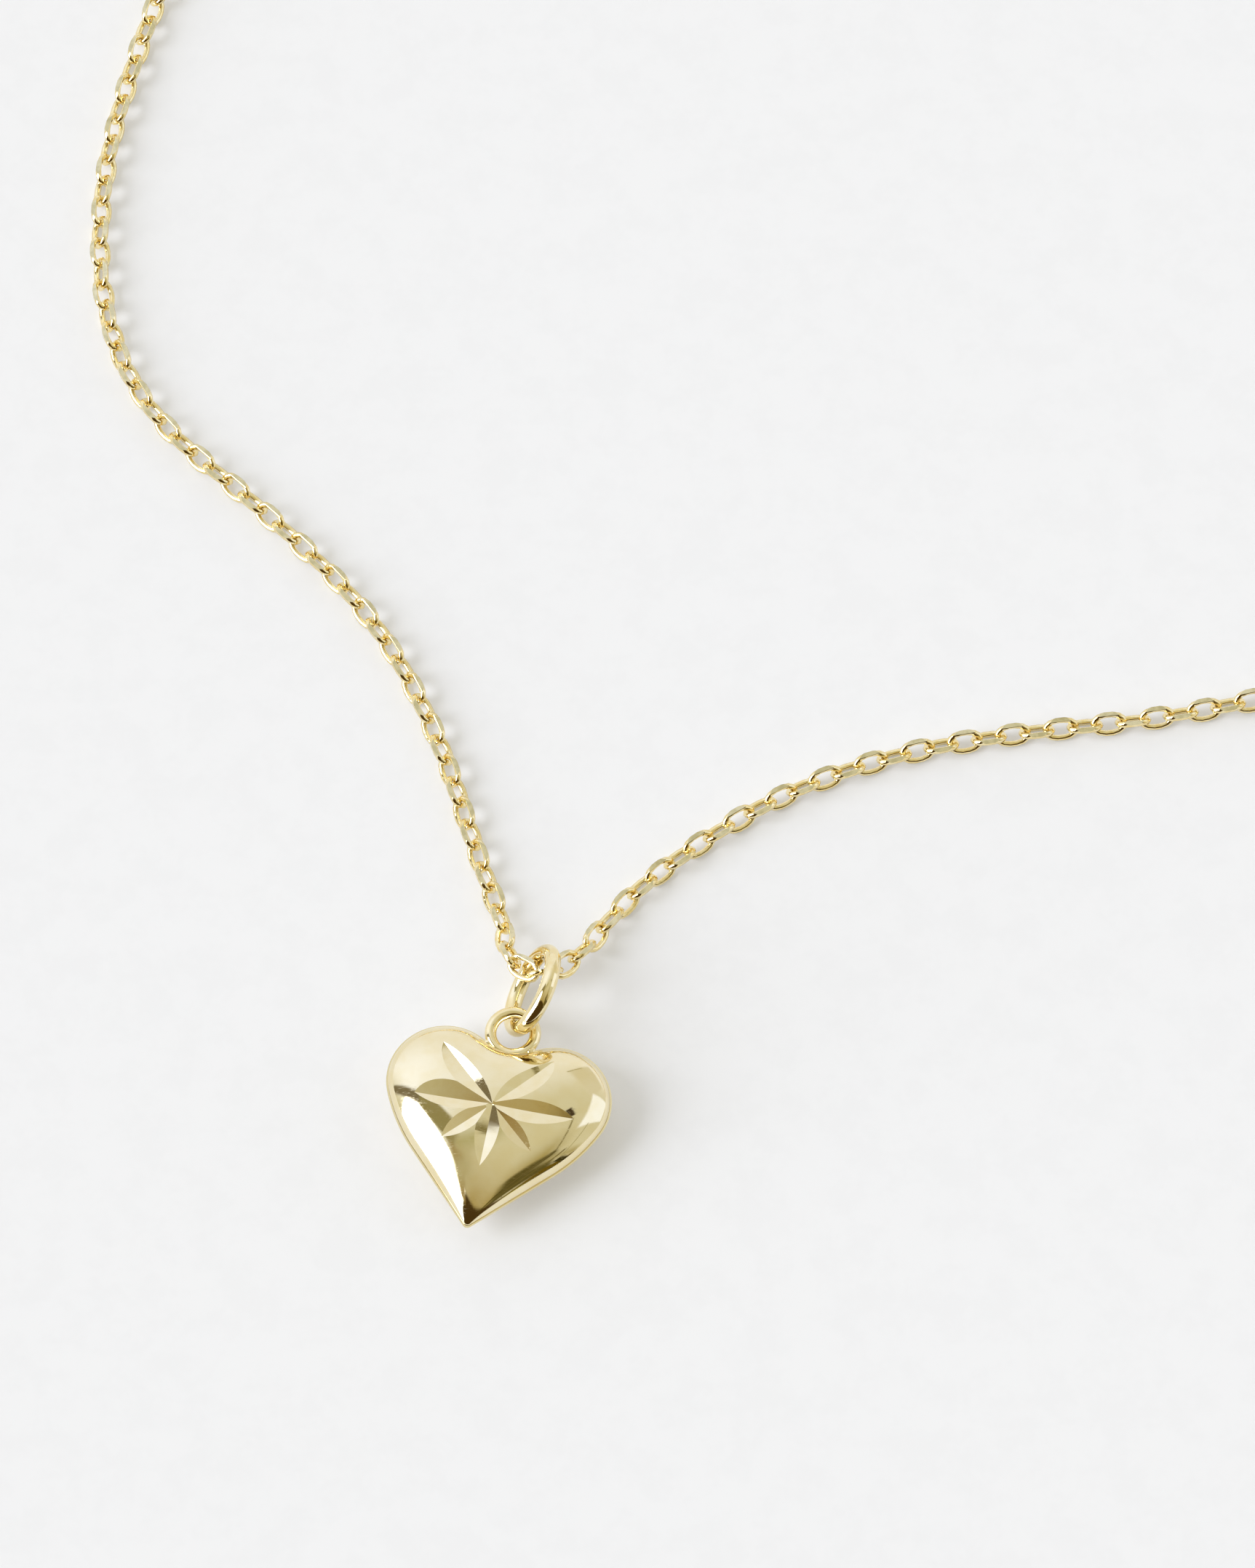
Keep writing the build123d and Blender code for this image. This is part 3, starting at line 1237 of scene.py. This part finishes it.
@dataclass
class BarrelClasp:
    """The plain barrel clasp: a round barrel with a groove round its middle and an eyelet at each end.

    Sizes are in millimetres.
    """

    diameter: float = 2.4
    length: float = 8.07
    rounding: float = 0.8
    groove: float = 0.12
    eyelet_wire: float = 0.4
    eyelet_radius: float = 0.65
    eyelet_sink: float = 0.2
    middle: tuple[float, float, float] = (38.6, 72.15, 1.2)
    span: tuple[float, float, float] = (9.6, -5.3, 0.0)
    groove_points: int = 7
    rounding_points: int = 13
    barrel_sides: int = 64
    eyelet_sides: int = 48
    eyelet_wire_sides: int = 20
    round_angle: float = 35.0

    def profile(self) -> list[tuple[float, float, float]]:
        """Trace half the barrel's lengthwise section, from end to end.

        Returns:
            Its points, with the barrel lengthwise along +X.
        """
        radius, end = self.diameter / 2, self.length / 2
        points = [(0.0, radius - self.groove, 0.0)]
        for angle in np.linspace(0, pi / 2, self.groove_points)[1:]:
            points.append((self.groove * sin(angle), radius - self.groove * cos(angle), 0.0))
        for angle in np.linspace(0, pi / 2, self.rounding_points):
            along = end - self.rounding * (1 - sin(angle))
            points.append((along, radius - self.rounding * (1 - cos(angle)), 0.0))
        points.append((end, 0.0, 0.0))
        return [(-x, y, z) for x, y, z in reversed(points[1:])] + points

    def build(self, finish: bpy.types.Material) -> None:
        """Make the clasp and lay it in its place.

        Args:
            finish: Its finish.
        """
        profile = self.profile()
        start_afresh()
        bpy.ops.mesh.primitive_circle_add(vertices=len(profile), radius=1, location=(0, 0, 0))
        barrel = new_piece("barrel_clasp")
        for vertex, place in zip(barrel.data.vertices, profile):
            vertex.co = place
        bpy.ops.object.mode_set(mode="EDIT")
        bpy.ops.mesh.select_all(action="SELECT")
        bpy.ops.mesh.spin(steps=self.barrel_sides, angle=2 * pi, center=(0, 0, 0), axis=(1, 0, 0))
        bpy.ops.object.mode_set(mode="OBJECT")
        face_outwards(barrel)
        out = self.length / 2 + self.eyelet_radius - self.eyelet_sink
        sides = self.eyelet_sides, self.eyelet_wire_sides
        eyelets = [
            wire_ring("eyelet", self.eyelet_radius, self.eyelet_wire, *sides, (side * out, 0, 0))
            for side in (-1, 1)
        ]
        clasp = join([barrel, *eyelets])
        clasp.data.materials.clear()
        clasp.data.materials.append(finish)
        smooth(clasp, self.round_angle)
        ahead = Vector(self.span).normalized()
        turned = Matrix((ahead, UP.cross(ahead), UP)).transposed().to_4x4()
        hand_over(clasp, "clasp", Matrix.Translation(self.middle) @ turned)


POLISHED_GOLD = GoldFinish(
    name="polished gold",
    bright=(0.90, 0.80, 0.54),
    deep=(0.88, 0.765, 0.48),
    roughness=0.045,
    marked=0.12,
    swell=900.0,
    hairlines=2500.0,
    specks=3000.0,
    relief=0.0000025,
)
CUT_GOLD = GoldFinish(
    name="diamond cut gold",
    bright=(0.90, 0.80, 0.54),
    deep=(0.88, 0.765, 0.48),
    roughness=0.035,
    marked=0.08,
    swell=1500.0,
    hairlines=4000.0,
    specks=2500.0,
    relief=0.0000004,
)
WIRE_GOLD = GoldFinish(
    name="wire gold",
    bright=(0.92, 0.80, 0.50),
    deep=(0.90, 0.75, 0.41),
    roughness=0.05,
    marked=0.1,
    swell=1500.0,
    hairlines=3000.0,
    specks=3500.0,
    relief=0.000001,
)
LINK_GOLD = GoldFinish(
    name="link gold",
    bright=(0.93, 0.80, 0.47),
    deep=(0.90, 0.72, 0.33),
    roughness=0.06,
    marked=0.1,
    swell=3000.0,
    hairlines=5000.0,
    specks=5000.0,
    relief=0.0000008,
)
# Painted shade: a darker copy of the link gold for the links' cut flat faces, which dims their reflections.
SHADED_FLAT_GOLD = GoldFinish(
    name="link flat gold",
    bright=(0.77, 0.69, 0.44),
    deep=(0.63, 0.56, 0.33),
    roughness=0.10,
    marked=0.15,
    swell=2500.0,
    hairlines=6000.0,
    specks=6000.0,
    relief=0.0000008,
)


def main() -> None:
    """Build the studio and the necklace, piece by piece."""
    logging.basicConfig(level=logging.INFO, format="%(message)s")
    marks = PolishGroup().build()
    polished = POLISHED_GOLD.material(marks)
    cut = CUT_GOLD.material(marks)
    wire = WIRE_GOLD.material(marks)
    links = LINK_GOLD.material(marks)
    shaded_flats = SHADED_FLAT_GOLD.material(marks)
    Studio().build()
    HeartPendant().build(polished, cut, wire)
    JumpRing().build(wire)
    CableChain().build(links, shaded_flats)
    BarrelClasp().build(wire)


if __name__ == "__main__":
    main()
